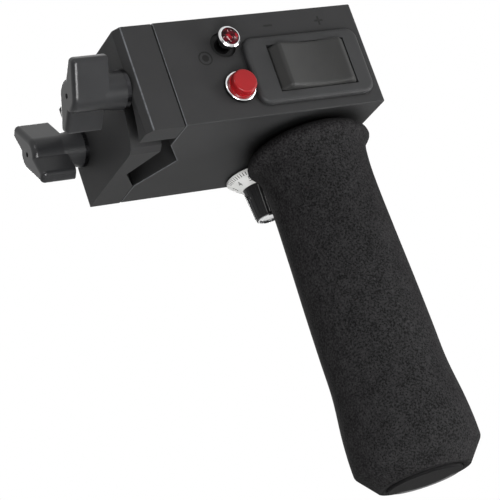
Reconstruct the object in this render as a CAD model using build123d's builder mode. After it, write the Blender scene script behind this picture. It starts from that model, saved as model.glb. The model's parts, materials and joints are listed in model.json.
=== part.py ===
from build123d import *
import math
import os

# A handgrip zoom controller for a camera lens. A vee jaw with two wing screws clamps it to a
# support rod, a foam grip hangs under it, and its front face carries a zoom rocker, a record
# button and a signal lamp. Millimetres. +X runs along the control face, away from the jaw,
# +Y runs from the control face to the rear cover, and +Z is up. The origin is the middle of
# the jaw's clamping plane.

# Clearances and overrun
running_gap = 0.05
seat_gap = 0.15
soft_gap = 0.3
overrun = 1.0
quarter_turn = 90.0

# Housing: its length is the jaw block, the bay of the button and lamp, the bezel and a margin
control_bay = 18.0
bezel_end_margin = 2.8
housing_depth = 59.0
housing_height = 38.8
wall = 2.5
jaw_block = 14.0
edge_round = 0.5

# Vee of the fixed jaw: the front land stands back from the rear one
vee_wall = 4.1
vee_apex_y = -1.5
front_land_margin = 2.1
rear_land_margin = 1.2
land_step = 2.1

# Rear cover, its corner posts and screws
cover_thickness = 2.0
cover_ledge = 1.2
post_radius = 3.2
post_inset = 2.6
post_length = 10.5
cover_screw_radius = 1.5
cover_screw_length = 8.0
cover_screw_head_radius = 2.8
screw_recess_radius = 0.9
screw_recess_depth = 0.9

# Clamping screws, their threaded sleeves, washers and knobs
screw_inset = 8.0
stud_radius = 3.175
stud_end_gap = 1.0
stud_in_knob = 10.1
insert_radius = 4.5
insert_end_wall = 0.9
washer_radius = 6.8
washer_thickness = 1.4
hub_radius = 6.7
hub_tip_radius = 4.7
hub_length = 19.1
hub_end_round = 0.8
hub_dimple_radius = 0.9
hub_dimple_depth = 1.5
lobe_start = 6.4
lobe_span = 13.2
lobe_core_radius = 5.9
lobe_tip_round = 1.6
lobe_end_round = 1.8
lobe_tip_shares = ((0.985, 0.88), (1.0, 0.15))
lobe_root_shares = (0.3, -0.34)
front_knob_lean = 128.5
rear_knob_lean = 52.0
small_corner = 0.8

# Loose clamp plate
jaw_gap = 0.3
plate_thickness = 11.5
plate_front_margin = 0.3
plate_back_margin = 0.2
plate_vee_depth = 6.6
plate_vee_front_share = 0.19
plate_vee_apex_share = 0.078
bar_width = 10.8
bar_reach = 2.1
bar_bevel_run = 3.0
bar_bevel_height = 1.2
plate_corner_x = 2.1
plate_corner_y = 2.7
plate_corner_round = 1.2
slot_width = 6.8
slot_past_edge = 3.8
slot_mouth_bevel = 1.6

# Zoom rocker: bezel, frame, pin, cap, springs and sensor
rocker_shift = 1.1
rocker_floor_gap = 2.7
bezel_length = 45.4
bezel_height = 25.2
bezel_proud = 2.0
bezel_corner = 4.0
bezel_edge = 1.4
bezel_rim = 7.3
window_height = 17.8
skirt_wall = 1.2
frame_rim = 2.1
frame_depth = 8.0
frame_side = 1.6
frame_back = 1.5
pivot_depth = 5.0
pin_radius = 1.25
pin_end_gap = 0.2
cap_end_gap = 0.85
cap_side_gap = 0.3
cap_inside = 2.0
cap_left_shoulder = 1.5
cap_peak = 5.2
cap_middle = 3.3
cap_fall = 4.4
cap_right_shoulder = 2.6
cap_peak_share = -0.83
cap_middle_share = 0.25
cap_fall_share = 0.85
cap_edge_round = 1.4
arm_root = 8.0
arm_tip = 5.2
arm_past_pin = 2.1
rocker_spring_share = 0.315
rocker_spring_radius = 2.0
spring_wall = 0.5
sensor_length = 12.0
sensor_height = 8.0
sensor_depth = 4.0

# Record button: ring, nut, cap, plunger, spring and switch
button_margin = 5.75
button_z = -7.9
ring_flange_radius = 5.65
ring_flange = 1.4
barrel_radius = 5.3
barrel_depth = 10.0
cap_bore_radius = 4.95
cap_bore_depth = 7.0
button_nut_flats = 13.0
button_nut_thickness = 2.4
button_skirt_radius = 4.8
button_top_radius = 4.4
button_skirt_proud = 2.7
button_proud = 5.3
button_edge_round = 0.7
button_inside = 2.5
plunger_radius = 1.5
plunger_length = 9.5
button_spring_radius = 3.6
switch_radius = 5.3
switch_depth = 8.5
switch_bore_depth = 4.0

# Signal lamp: holder, faceted lens, lamp and nut
lamp_shift = 0.65
lamp_z = 8.5
lamp_well_radius = 4.7
lamp_well_depth = 1.0
holder_cup_radius = 4.0
holder_cup_length = 2.0
holder_proud = 6.3
holder_neck_radius = 2.9
holder_depth = 8.5
lens_radius = 3.2
lens_seat = 1.5
lens_proud = 0.4
lens_facets = 12
lamp_radius = 2.0
lamp_length = 12.0
lamp_nut_flats = 8.0
lamp_nut_thickness = 2.2

# Speed dial under the housing: potentiometer, nut, shaft, skirt, body, cap and grub screw
dial_shift = 4.2
dial_inset = 8.7
pot_side = 11.6
pot_height = 6.5
bushing_radius = 3.5
bushing_length = 2.2
pot_nut_flats = 10.0
pot_nut_thickness = 1.5
shaft_radius = 3.0
shaft_drop = 16.0
shaft_in_pot = 4.0
dial_lift = 0.6
skirt_rim_radius = 10.6
skirt_rim = 0.8
skirt_top_radius = 6.4
skirt_height = 4.6
skirt_recess_radius = 6.6
skirt_recess_depth = 2.0
dial_root_radius = 5.9
dial_tip_radius = 4.75
dial_length = 12.2
dial_cap_radius = 4.2
dial_cap_seat = 0.3
dial_cap_thickness = 0.7
grub_radius = 1.2
grub_length = 2.0
grub_height = 4.0

# Foam grip: boss, bolt, tube, pins, foam sleeve and end cap
grip_shift = 3.9
grip_dial_step = 26.3
boss_flange = 3.0
spigot_length = 17.0
tube_radius = 11.1
tube_bore_radius = 8.0
tube_length = 121.6
grip_bolt_radius = 3.0
grip_bolt_length = 15.0
grip_bolt_head_radius = 5.0
grip_bolt_head = 6.0
bolt_socket_radius = 2.5
bolt_socket_depth = 3.0
pin_drop = 11.0
pin_bar_radius = 1.5
pin_bar_length = 6.0
dial_relief = 0.5
foam_top_gap = 0.4
foam_top_radius = 13.5
foam_collar_radius = 22.4
foam_collar_drop = 5.6
foam_end_drop = 126.6
foam_end_radius = 16.4
foam_points = (
    (8.7, 20.2),
    (13.2, 19.3),
    (22.2, 18.9),
    (61.2, 19.9),
    (91.2, 20.5),
    (105.2, 21.9),
    (119.9, 22.4),
)
end_flange_radius = 13.2
end_flange = 3.4
end_plug_length = 8.0
end_flange_round = 0.6

# Electronics on the rear cover
board_left_gap = 6.0
board_right_gap = 5.7
board_floor_gap = 10.0
board_roof_gap = 1.7
board_thickness = 1.6
standoff_radius = 2.2
standoff_length = 11.9
standoff_inset = 4.0
standoff_rise = 3.4
board_screw_radius = 1.2
board_screw_length = 7.0
board_screw_head_radius = 2.1
board_screw_head = 1.4
socket_inset = 12.6
socket_floor_gap = 1.4
socket_body_radius = 4.0
socket_body_length = 12.0
socket_thread_radius = 3.0
socket_thread_length = 4.0
socket_bore_radius = 1.3
socket_bore_length = 12.0
socket_nut_flats = 8.0
socket_nut_thickness = 1.5

# Planes of the housing that the other pieces sit on
bezel_left_x = jaw_block + control_bay
housing_length = bezel_left_x + bezel_length + bezel_end_margin
front_y = -housing_depth / 2
back_y = housing_depth / 2
top_z = housing_height / 2
bottom_z = -housing_height / 2
inner_front_y = front_y + wall
inner_right_x = housing_length - wall
inner_top_z = top_z - wall
inner_bottom_z = bottom_z + wall
cover_inner_y = back_y - cover_thickness
screw_offset = back_y - screw_inset
washer_x = -jaw_gap - plate_thickness
knob_x = washer_x - washer_thickness
rise = (Align.CENTER, Align.CENTER, Align.MIN)

# Places and lengths that follow from the pieces beside them
insert_length = jaw_block - land_step - insert_end_wall
stud_reach = insert_length - stud_end_gap
bezel_x = bezel_left_x + bezel_length / 2
rocker_x = bezel_x + rocker_shift
window_length = bezel_length - 2 * bezel_rim
frame_length = window_length + 2 * frame_side
frame_height = window_height + 2 * frame_rim
rocker_z = inner_bottom_z + rocker_floor_gap + frame_height / 2
cap_length = window_length - 2 * cap_end_gap
cap_height = window_height - 2 * cap_side_gap
button_x = bezel_left_x - button_margin
lamp_x = button_x - lamp_shift
dial_x = bezel_x - dial_shift
dial_y = back_y - dial_inset
grip_x = bezel_x + grip_shift
grip_y = dial_y - grip_dial_step
socket_x = inner_right_x - socket_inset
socket_z = inner_bottom_z + socket_floor_gap + socket_body_radius
board_left = jaw_block + board_left_gap
board_right = inner_right_x - board_right_gap
board_bottom = inner_bottom_z + board_floor_gap
board_top = inner_top_z - board_roof_gap


def facing_front(x, y, z):
    """Plane square to Y that looks out of the control face, with X to the right and Z up."""
    return Plane(origin=(x, y, z), x_dir=(1, 0, 0), z_dir=(0, -1, 0))


def facing_back(x, y, z):
    """Plane square to Y that looks out of the rear cover."""
    return Plane(origin=(x, y, z), x_dir=(-1, 0, 0), z_dir=(0, 1, 0))


def facing_left(x, y, z):
    """Plane square to X that looks out of the jaw, along the clamping screws."""
    return Plane(origin=(x, y, z), x_dir=(0, -1, 0), z_dir=(-1, 0, 0))


def facing_down(x, y, z):
    """Plane square to Z that looks down, along the grip and the dial."""
    return Plane(origin=(x, y, z), x_dir=(1, 0, 0), z_dir=(0, 0, -1))


def round_step(radius, length, start=0, mode=Mode.ADD):
    """Round bar along the work plane's normal, from start outwards."""
    with Locations((0, 0, start)):
        Cylinder(radius, length, align=rise, mode=mode)


def hex_nut(plane, flats, thickness, bore, name):
    """Hexagon nut that rises from a plane, labelled and written under its name."""
    with BuildPart() as nut:
        with BuildSketch(plane):
            RegularPolygon(flats / 2, 6, major_radius=False)
            Circle(bore, mode=Mode.SUBTRACT)
        extrude(amount=thickness)
    nut.part.label = name
    export_step(nut.part, "parts/" + name + ".step")


os.makedirs("parts", exist_ok=True)

# Housing: one casting with the fixed jaw at the left and a bay that opens to the rear
post_centres = []
for post_x, side_x in ((jaw_block, 1), (inner_right_x, -1)):
    for side_z in (-1, 1):
        post_centres.append((post_x + side_x * post_inset, side_z * (inner_top_z - post_inset)))

rear_flank_y = screw_offset - insert_radius - rear_land_margin
front_flank_y = -screw_offset + insert_radius + front_land_margin

with BuildPart() as housing:
    with BuildSketch(Plane.XY.offset(bottom_z)):
        with BuildLine():
            Polyline(
                (0, back_y),
                (0, rear_flank_y),
                (jaw_block - vee_wall, vee_apex_y),
                (land_step, front_flank_y),
                (land_step, front_y),
                (housing_length, front_y),
                (housing_length, back_y),
                close=True,
            )
        make_face()
    extrude(amount=housing_height)
    uprights = housing.edges().filter_by(Axis.Z)
    corners = uprights.group_by(Axis.X)[-1] + uprights.group_by(Axis.Y)[0] + uprights.group_by(Axis.Y)[-1]
    fillet(corners, edge_round)
    fillet(housing.faces().sort_by(Axis.Z)[-1].outer_wire().edges(), edge_round)
    fillet(housing.faces().sort_by(Axis.Z)[0].outer_wire().edges(), edge_round)
    bay_centre_x = (jaw_block + inner_right_x) / 2
    bay_length = inner_right_x - jaw_block
    bay_height = inner_top_z - inner_bottom_z
    with BuildSketch(facing_back(bay_centre_x, inner_front_y, 0)):
        Rectangle(bay_length, bay_height)
    extrude(amount=housing_depth, mode=Mode.SUBTRACT)
    with BuildSketch(facing_back(bay_centre_x, cover_inner_y, 0)):
        Rectangle(bay_length + 2 * cover_ledge, bay_height + 2 * cover_ledge)
    extrude(amount=housing_depth, mode=Mode.SUBTRACT)
    for centre_x, centre_z in post_centres:
        corner_x = centre_x + math.copysign(post_inset / 2, centre_x - bay_centre_x)
        corner_z = centre_z + math.copysign(post_inset / 2, centre_z)
        with BuildSketch(facing_front(0, cover_inner_y, 0)):
            with Locations((centre_x, centre_z)):
                Circle(post_radius)
            with Locations((corner_x, corner_z)):
                Rectangle(post_inset, post_inset)
        extrude(amount=post_length)
        with BuildSketch(facing_front(centre_x, cover_inner_y, centre_z)):
            Circle(cover_screw_radius + running_gap)
        extrude(amount=cover_screw_length, mode=Mode.SUBTRACT)
    with BuildSketch(facing_front(rocker_x, inner_front_y, rocker_z)):
        Rectangle(
            window_length + 2 * skirt_wall + 2 * seat_gap,
            window_height + 2 * skirt_wall + 2 * seat_gap,
        )
    extrude(amount=wall + overrun, mode=Mode.SUBTRACT)
    with BuildSketch(facing_front(0, inner_front_y, 0)):
        with Locations((button_x, button_z)):
            Circle(barrel_radius + running_gap)
        with Locations((lamp_x, lamp_z)):
            Circle(holder_neck_radius + running_gap)
    extrude(amount=wall + overrun, mode=Mode.SUBTRACT)
    with BuildSketch(facing_front(lamp_x, front_y + lamp_well_depth, lamp_z)):
        Circle(lamp_well_radius)
    extrude(amount=lamp_well_depth + overrun, mode=Mode.SUBTRACT)
    with BuildSketch(facing_down(0, 0, inner_bottom_z)):
        with Locations((dial_x, -dial_y)):
            Circle(bushing_radius + running_gap)
        with Locations((grip_x, -grip_y)):
            Circle(grip_bolt_radius + running_gap)
    extrude(amount=wall + overrun, mode=Mode.SUBTRACT)
    for screw_y, land_x in ((-screw_offset, land_step), (screw_offset, 0)):
        with BuildSketch(facing_left(land_x + insert_length, screw_y, 0)):
            Circle(insert_radius)
        extrude(amount=insert_length + overrun, mode=Mode.SUBTRACT)
housing.part.label = "housing"
export_step(housing.part, "parts/housing.step")

# Two threaded steel sleeves pressed into the fixed jaw, flush with its lands
with BuildPart() as jaw_inserts:
    for screw_y, land_x in ((-screw_offset, land_step), (screw_offset, 0)):
        with BuildSketch(facing_left(land_x + insert_length, screw_y, 0)):
            Circle(insert_radius)
            Circle(stud_radius + running_gap, mode=Mode.SUBTRACT)
        extrude(amount=insert_length)
jaw_inserts.part.label = "jaw_inserts"
export_step(jaw_inserts.part, "parts/jaw_inserts.step")

# Clamp plate: a vee across its inner side, a raised bar at the front, a round hole for the
# rear screw and a slot along an arc about that screw, open at the bottom, for the front one
plate_x = -jaw_gap
plate_front_y = front_y + plate_front_margin
plate_back_y = back_y - plate_back_margin
bar_y = plate_front_y + bar_width
bar_x = plate_x + bar_reach
plate_vee_front_y = -plate_vee_front_share * housing_depth
plate_vee_apex_y = plate_vee_apex_share * housing_depth
slot_reach = (top_z + slot_past_edge) / (2 * screw_offset)
slot_sweep = math.degrees(math.asin(slot_reach))
slot_path = CenterArc((screw_offset, 0), 2 * screw_offset, 2 * quarter_turn, slot_sweep)

with BuildPart() as clamp_plate:
    with BuildSketch(Plane.XY.offset(bottom_z)):
        with BuildLine():
            Polyline(
                (washer_x, plate_back_y),
                (washer_x, plate_front_y + plate_corner_y),
                (washer_x + plate_corner_x, plate_front_y),
                (bar_x, plate_front_y),
                (bar_x, bar_y - bar_bevel_run),
                (bar_x - bar_bevel_height, bar_y),
                (plate_x, bar_y),
                (plate_x, plate_vee_front_y),
                (plate_x - plate_vee_depth, plate_vee_apex_y),
                (plate_x, rear_flank_y),
                (plate_x, plate_back_y),
                close=True,
            )
        make_face()
    extrude(amount=housing_height)
    uprights = clamp_plate.edges().filter_by(Axis.Z)
    fillet(uprights.sort_by_distance((washer_x, plate_front_y, 0))[:2], plate_corner_round)
    outer_edges = clamp_plate.faces().sort_by(Axis.X)[0].edges()
    fillet(outer_edges.sort_by(Axis.Y)[1:].sort_by(Axis.Z)[1:], edge_round)
    with BuildSketch(facing_left(bar_x, screw_offset, 0)):
        Circle(stud_radius + 2 * running_gap)
    extrude(amount=plate_thickness + bar_reach + overrun, mode=Mode.SUBTRACT)
    with BuildSketch(Plane.YZ.offset(plate_x)):
        SlotArc(slot_path, slot_width)
    extrude(amount=plate_thickness + overrun, both=True, mode=Mode.SUBTRACT)
    mouth = clamp_plate.faces().sort_by(Axis.Z)[0].edges().filter_by(Axis.X)
    chamfer(mouth.sort_by_distance((washer_x, -screw_offset + slot_width, bottom_z))[0], slot_mouth_bevel)
clamp_plate.part.label = "clamp_plate"
export_step(clamp_plate.part, "parts/clamp_plate.step")


def wing_knob(screw_y, lean):
    """Knob with a round hub and two wings, each with its outer side flush with the hub.

    Lean is the angle from +Y to the first wing.
    """
    along = (0, math.cos(math.radians(lean)), math.sin(math.radians(lean)))
    across = (0, -along[2], along[1])
    section = Plane(origin=(knob_x, screw_y, 0), x_dir=along, z_dir=(1, 0, 0))
    outline = Plane(origin=(knob_x, screw_y, 0), x_dir=along, z_dir=across)
    lobe_shares = (*lobe_tip_shares, lobe_root_shares)
    tip, heel, root = [(p * lobe_span, q * lobe_core_radius) for p, q in lobe_shares]
    turn = math.atan2(tip[1], tip[0]) + math.acos(lobe_core_radius / math.hypot(*tip))
    touch = (lobe_core_radius * math.cos(turn), lobe_core_radius * math.sin(turn))
    with BuildPart() as knob:
        with BuildSketch(section.offset(-lobe_start)) as lobes:
            for side in (1, -1):
                with BuildLine():
                    Polyline([(side * p, side * q) for p, q in ((0, 0), touch, tip, heel, root)], close=True)
                make_face()
            Circle(lobe_core_radius)
            ends = lobes.vertices().sort_by(Axis.X)
            fillet(ends[:2] + ends[-2:], lobe_tip_round)
        extrude(amount=-hub_length + lobe_start)
        fillet(knob.faces().sort_by(Axis.X)[0].edges(), lobe_end_round)
        with BuildSketch(outline) as hub:
            with BuildLine():
                Polyline(
                    (0, 0),
                    (hub_radius, 0),
                    (hub_tip_radius, hub_length),
                    (0, hub_length),
                    close=True,
                )
            make_face()
            fillet(hub.vertices().sort_by_distance((hub_tip_radius, hub_length))[0], hub_end_round)
        revolve(axis=Axis((knob_x, screw_y, 0), (-1, 0, 0)))
        with BuildSketch(section):
            Circle(stud_radius + running_gap)
        extrude(amount=-stud_in_knob - running_gap, mode=Mode.SUBTRACT)
        with BuildSketch(section.offset(-hub_length)):
            Circle(hub_dimple_radius)
        extrude(amount=hub_dimple_depth, mode=Mode.SUBTRACT)
    return knob.part


# The two clamping screws: knob, threaded stud and washer, front and rear
for end, screw_y, land_x, lean in (
    ("front", -screw_offset, land_step, front_knob_lean),
    ("rear", screw_offset, 0, rear_knob_lean),
):
    knob = wing_knob(screw_y, lean)
    knob.label = end + "_knob"
    export_step(knob, "parts/" + knob.label + ".step")

    with BuildPart(facing_left(land_x + stud_reach, screw_y, 0)) as stud:
        round_step(stud_radius, land_x + stud_reach - knob_x + stud_in_knob)
        chamfer(stud.faces().sort_by(Axis.X)[-1].edges(), small_corner)
    stud.part.label = end + "_stud"
    export_step(stud.part, "parts/" + stud.part.label + ".step")

    with BuildPart(facing_left(washer_x, screw_y, 0)) as washer:
        round_step(washer_radius, washer_thickness)
        round_step(stud_radius + 2 * running_gap, washer_thickness, mode=Mode.SUBTRACT)
    washer.part.label = end + "_washer"
    export_step(washer.part, "parts/" + washer.part.label + ".step")

# Rocker bezel: a rounded plate on the control face with a skirt through the wall
with BuildPart() as rocker_bezel:
    with BuildSketch(facing_front(bezel_x, front_y, rocker_z)):
        RectangleRounded(bezel_length, bezel_height, bezel_corner)
    extrude(amount=bezel_proud)
    fillet(rocker_bezel.faces().sort_by(Axis.Y)[0].edges(), bezel_edge)
    with BuildSketch(facing_front(rocker_x, inner_front_y, rocker_z)):
        Rectangle(window_length + 2 * skirt_wall, window_height + 2 * skirt_wall)
    extrude(amount=wall)
    with BuildSketch(facing_front(rocker_x, inner_front_y, rocker_z)):
        Rectangle(window_length, window_height)
    extrude(amount=wall + bezel_proud + overrun, mode=Mode.SUBTRACT)
rocker_bezel.part.label = "rocker_bezel"
export_step(rocker_bezel.part, "parts/rocker_bezel.step")

# Rocker frame behind the wall: a tray with the pin's two holes
pivot_y = front_y + pivot_depth
frame_back_y = inner_front_y + frame_depth

with BuildPart() as rocker_frame:
    with BuildSketch(facing_back(rocker_x, inner_front_y, rocker_z)):
        Rectangle(frame_length, frame_height)
    extrude(amount=frame_depth + frame_back)
    with BuildSketch(facing_back(rocker_x, inner_front_y, rocker_z)):
        Rectangle(frame_length - 2 * frame_side, frame_height - 2 * frame_side)
    extrude(amount=frame_depth, mode=Mode.SUBTRACT)
    with BuildSketch(Plane.XY.offset(rocker_z - frame_height / 2)):
        with Locations((rocker_x, pivot_y)):
            Circle(pin_radius + running_gap)
    extrude(amount=frame_height, mode=Mode.SUBTRACT)
rocker_frame.part.label = "rocker_frame"
export_step(rocker_frame.part, "parts/rocker_frame.step")

with BuildPart() as rocker_pin:
    with BuildSketch(Plane.XY.offset(rocker_z - frame_height / 2 + pin_end_gap)):
        with Locations((rocker_x, pivot_y)):
            Circle(pin_radius)
    extrude(amount=frame_height - 2 * pin_end_gap)
rocker_pin.part.label = "rocker_pin"
export_step(rocker_pin.part, "parts/rocker_pin.step")

# Rocker cap: high at its left end, dished towards its right end, with a short arm round the pin
half_cap = cap_length / 2
cap_low_y = front_y + cap_inside

with BuildPart() as rocker_cap:
    with BuildSketch(Plane.XY.offset(rocker_z - cap_height / 2)):
        with BuildLine():
            Polyline(
                (rocker_x + cap_fall_share * half_cap, front_y - cap_fall),
                (rocker_x + half_cap, front_y - cap_right_shoulder),
                (rocker_x + half_cap, cap_low_y),
                (rocker_x + arm_root / 2, cap_low_y),
                (rocker_x + arm_tip / 2, pivot_y + arm_past_pin),
                (rocker_x - arm_tip / 2, pivot_y + arm_past_pin),
                (rocker_x - arm_root / 2, cap_low_y),
                (rocker_x - half_cap, cap_low_y),
                (rocker_x - half_cap, front_y - cap_left_shoulder),
                (rocker_x + cap_peak_share * half_cap, front_y - cap_peak),
            )
            ThreePointArc(
                (rocker_x + cap_peak_share * half_cap, front_y - cap_peak),
                (rocker_x + cap_middle_share * half_cap, front_y - cap_middle),
                (rocker_x + cap_fall_share * half_cap, front_y - cap_fall),
            )
        make_face()
    extrude(amount=cap_height)
    proud = rocker_cap.edges().filter_by_position(Axis.Y, front_y - cap_peak, front_y - cap_left_shoulder)
    fillet(proud, cap_edge_round)
    with BuildSketch(Plane.XY.offset(rocker_z - cap_height / 2)):
        with Locations((rocker_x, pivot_y)):
            Circle(pin_radius + running_gap)
    extrude(amount=cap_height, mode=Mode.SUBTRACT)
rocker_cap.part.label = "rocker_cap"
export_step(rocker_cap.part, "parts/rocker_cap.step")

# Two return springs under the cap, drawn as sleeves, one to each node
for end, side in (("left", -1), ("right", 1)):
    spring_x = rocker_x + side * rocker_spring_share * cap_length
    spring_length = frame_back_y - cap_low_y
    with BuildPart(facing_front(spring_x, frame_back_y, rocker_z)) as rocker_spring:
        round_step(rocker_spring_radius, spring_length)
        round_step(rocker_spring_radius - spring_wall, spring_length, mode=Mode.SUBTRACT)
    rocker_spring.part.label = "rocker_spring_" + end
    export_step(rocker_spring.part, "parts/" + rocker_spring.part.label + ".step")

with BuildPart() as zoom_sensor:
    with BuildSketch(facing_back(rocker_x, frame_back_y + frame_back, rocker_z)):
        Rectangle(sensor_length, sensor_height)
    extrude(amount=sensor_depth)
    fillet(zoom_sensor.edges().filter_by(Axis.Y), edge_round)
zoom_sensor.part.label = "zoom_sensor"
export_step(zoom_sensor.part, "parts/zoom_sensor.step")

# Record button: chromed ring through the wall, hexagon nut behind it and a stepped cap
cap_floor_y = front_y + cap_bore_depth
barrel_end_y = front_y + barrel_depth
button_back_y = front_y + button_inside

with BuildPart(facing_front(button_x, barrel_end_y, button_z)) as button_ring:
    round_step(barrel_radius, barrel_depth)
    round_step(ring_flange_radius, ring_flange, start=barrel_depth)
    fillet(button_ring.faces().sort_by(Axis.Y)[0].edges(), ring_flange / 3)
    round_step(plunger_radius + running_gap, barrel_depth, mode=Mode.SUBTRACT)
    cap_floor = barrel_depth - cap_bore_depth
    round_step(cap_bore_radius, cap_bore_depth + ring_flange, start=cap_floor, mode=Mode.SUBTRACT)
button_ring.part.label = "button_ring"
export_step(button_ring.part, "parts/button_ring.step")

hex_nut(
    facing_back(button_x, inner_front_y, button_z),
    button_nut_flats,
    button_nut_thickness,
    barrel_radius + running_gap,
    "button_nut",
)

with BuildPart(facing_front(button_x, button_back_y, button_z)) as button_cap:
    round_step(button_skirt_radius, button_inside + button_skirt_proud)
    round_step(button_top_radius, button_inside + button_proud)
    fillet(button_cap.faces().sort_by(Axis.Y)[0].edges(), button_edge_round)
button_cap.part.label = "button_cap"
export_step(button_cap.part, "parts/button_cap.step")

with BuildPart(facing_back(button_x, button_back_y, button_z)) as button_plunger:
    round_step(plunger_radius, plunger_length)
button_plunger.part.label = "button_plunger"
export_step(button_plunger.part, "parts/button_plunger.step")

with BuildPart(facing_back(button_x, button_back_y, button_z)) as button_spring:
    round_step(button_spring_radius, cap_floor_y - button_back_y)
    round_step(button_spring_radius - spring_wall, cap_floor_y - button_back_y, mode=Mode.SUBTRACT)
button_spring.part.label = "button_spring"
export_step(button_spring.part, "parts/button_spring.step")

with BuildPart(facing_back(button_x, barrel_end_y, button_z)) as button_switch:
    round_step(switch_radius, switch_depth)
    round_step(plunger_radius + 2 * running_gap, switch_bore_depth, mode=Mode.SUBTRACT)
button_switch.part.label = "button_switch"
export_step(button_switch.part, "parts/button_switch.step")

# Signal lamp: a chromed cup on a neck, with a faceted red lens and the lamp behind it
holder_length = holder_proud + holder_depth

with BuildPart(facing_front(lamp_x, front_y + holder_depth, lamp_z)) as lamp_holder:
    round_step(holder_neck_radius, holder_length)
    round_step(holder_cup_radius, holder_cup_length, start=holder_length - holder_cup_length)
    chamfer(lamp_holder.faces().sort_by(Axis.Y)[0].edges(), edge_round)
    round_step(lamp_radius + running_gap, holder_length, mode=Mode.SUBTRACT)
    round_step(lens_radius + running_gap, lens_seat, start=holder_length - lens_seat, mode=Mode.SUBTRACT)
lamp_holder.part.label = "lamp_holder"
export_step(lamp_holder.part, "parts/lamp_holder.step")

lens_back_y = front_y - holder_proud + lens_seat
with BuildPart() as lamp_lens:
    with BuildSketch(facing_front(lamp_x, lens_back_y, lamp_z)):
        RegularPolygon(lens_radius, lens_facets)
    extrude(amount=lens_seat + lens_proud)
    chamfer(lamp_lens.faces().sort_by(Axis.Y)[0].edges(), lens_seat / 2)
lamp_lens.part.label = "lamp_lens"
export_step(lamp_lens.part, "parts/lamp_lens.step")

with BuildPart(facing_back(lamp_x, lens_back_y, lamp_z)) as signal_lamp:
    round_step(lamp_radius, lamp_length)
signal_lamp.part.label = "signal_lamp"
export_step(signal_lamp.part, "parts/signal_lamp.step")

hex_nut(
    facing_back(lamp_x, inner_front_y, lamp_z),
    lamp_nut_flats,
    lamp_nut_thickness,
    holder_neck_radius + running_gap,
    "lamp_nut",
)

# Speed dial: potentiometer on the housing floor, its shaft going down through the wall
shaft_bore = shaft_radius + running_gap
dial_top_z = bottom_z - dial_lift
dial_seat_z = dial_top_z - skirt_height
dial_end_z = dial_seat_z - dial_length

with BuildPart(facing_down(dial_x, dial_y, inner_bottom_z)) as speed_pot:
    Box(pot_side, pot_side, pot_height, align=(Align.CENTER, Align.CENTER, Align.MAX))
    fillet(speed_pot.edges().filter_by(Axis.Z), edge_round)
    round_step(bushing_radius, wall + bushing_length)
    round_step(shaft_bore, wall + bushing_length + shaft_in_pot, start=-shaft_in_pot, mode=Mode.SUBTRACT)
speed_pot.part.label = "speed_pot"
export_step(speed_pot.part, "parts/speed_pot.step")

hex_nut(
    facing_down(dial_x, dial_y, bottom_z),
    pot_nut_flats,
    pot_nut_thickness,
    bushing_radius + running_gap,
    "pot_nut",
)

shaft_top_z = inner_bottom_z + shaft_in_pot - running_gap
with BuildPart(facing_down(dial_x, dial_y, shaft_top_z)) as pot_shaft:
    round_step(shaft_radius, shaft_top_z - bottom_z + shaft_drop)
pot_shaft.part.label = "pot_shaft"
export_step(pot_shaft.part, "parts/pot_shaft.step")

with BuildPart(facing_down(dial_x, dial_y, dial_top_z)) as dial_skirt:
    round_step(skirt_rim_radius, skirt_rim)
    with Locations((0, 0, skirt_rim)):
        Cone(skirt_rim_radius, skirt_top_radius, skirt_height - skirt_rim, align=rise)
    round_step(skirt_recess_radius, skirt_recess_depth, mode=Mode.SUBTRACT)
    round_step(shaft_bore, skirt_height, mode=Mode.SUBTRACT)
dial_skirt.part.label = "dial_skirt"
export_step(dial_skirt.part, "parts/dial_skirt.step")

shaft_end_z = bottom_z - shaft_drop
with BuildPart(facing_down(dial_x, dial_y, dial_seat_z)) as dial_body:
    Cone(dial_root_radius, dial_tip_radius, dial_length, align=rise)
    fillet(dial_body.faces().sort_by(Axis.Z)[0].edges(), edge_round / 2)
    round_step(shaft_bore, dial_seat_z - shaft_end_z + running_gap, mode=Mode.SUBTRACT)
    cap_seat = dial_length - dial_cap_seat
    round_step(dial_cap_radius + running_gap, dial_cap_seat, start=cap_seat, mode=Mode.SUBTRACT)
    grub_z = dial_seat_z - grub_height
    with BuildSketch(facing_left(dial_x - shaft_radius, dial_y, grub_z)):
        Circle(grub_radius + running_gap)
    extrude(amount=dial_root_radius, mode=Mode.SUBTRACT)
dial_body.part.label = "dial_body"
export_step(dial_body.part, "parts/dial_body.step")

with BuildPart(facing_left(dial_x - shaft_radius, dial_y, grub_z)) as grub_screw:
    round_step(grub_radius, grub_length)
grub_screw.part.label = "grub_screw"
export_step(grub_screw.part, "parts/grub_screw.step")

with BuildPart(facing_down(dial_x, dial_y, dial_end_z + dial_cap_seat)) as dial_cap:
    round_step(dial_cap_radius, dial_cap_thickness)
    fillet(dial_cap.faces().sort_by(Axis.Z)[0].edges(), dial_cap_thickness / 3)
dial_cap.part.label = "dial_cap"
export_step(dial_cap.part, "parts/dial_cap.step")

# Grip: a flanged boss bolted under the housing, a tube pinned over its spigot, and foam
tube_top_z = bottom_z - boss_flange
tube_end_z = tube_top_z - tube_length
bolt_bore = grip_bolt_radius + running_gap

with BuildPart(facing_down(grip_x, grip_y, bottom_z)) as grip_boss:
    round_step(tube_radius, boss_flange)
    round_step(tube_bore_radius - running_gap, boss_flange + spigot_length)
    round_step(bolt_bore, grip_bolt_length, mode=Mode.SUBTRACT)
    for side in (-1, 1):
        with BuildSketch(Plane.YZ.offset(grip_x + side * (tube_radius - pin_bar_length))):
            with Locations((grip_y, tube_top_z - pin_drop)):
                Circle(pin_bar_radius + running_gap)
        extrude(amount=side * pin_bar_length, mode=Mode.SUBTRACT)
grip_boss.part.label = "grip_boss"
export_step(grip_boss.part, "parts/grip_boss.step")

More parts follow.
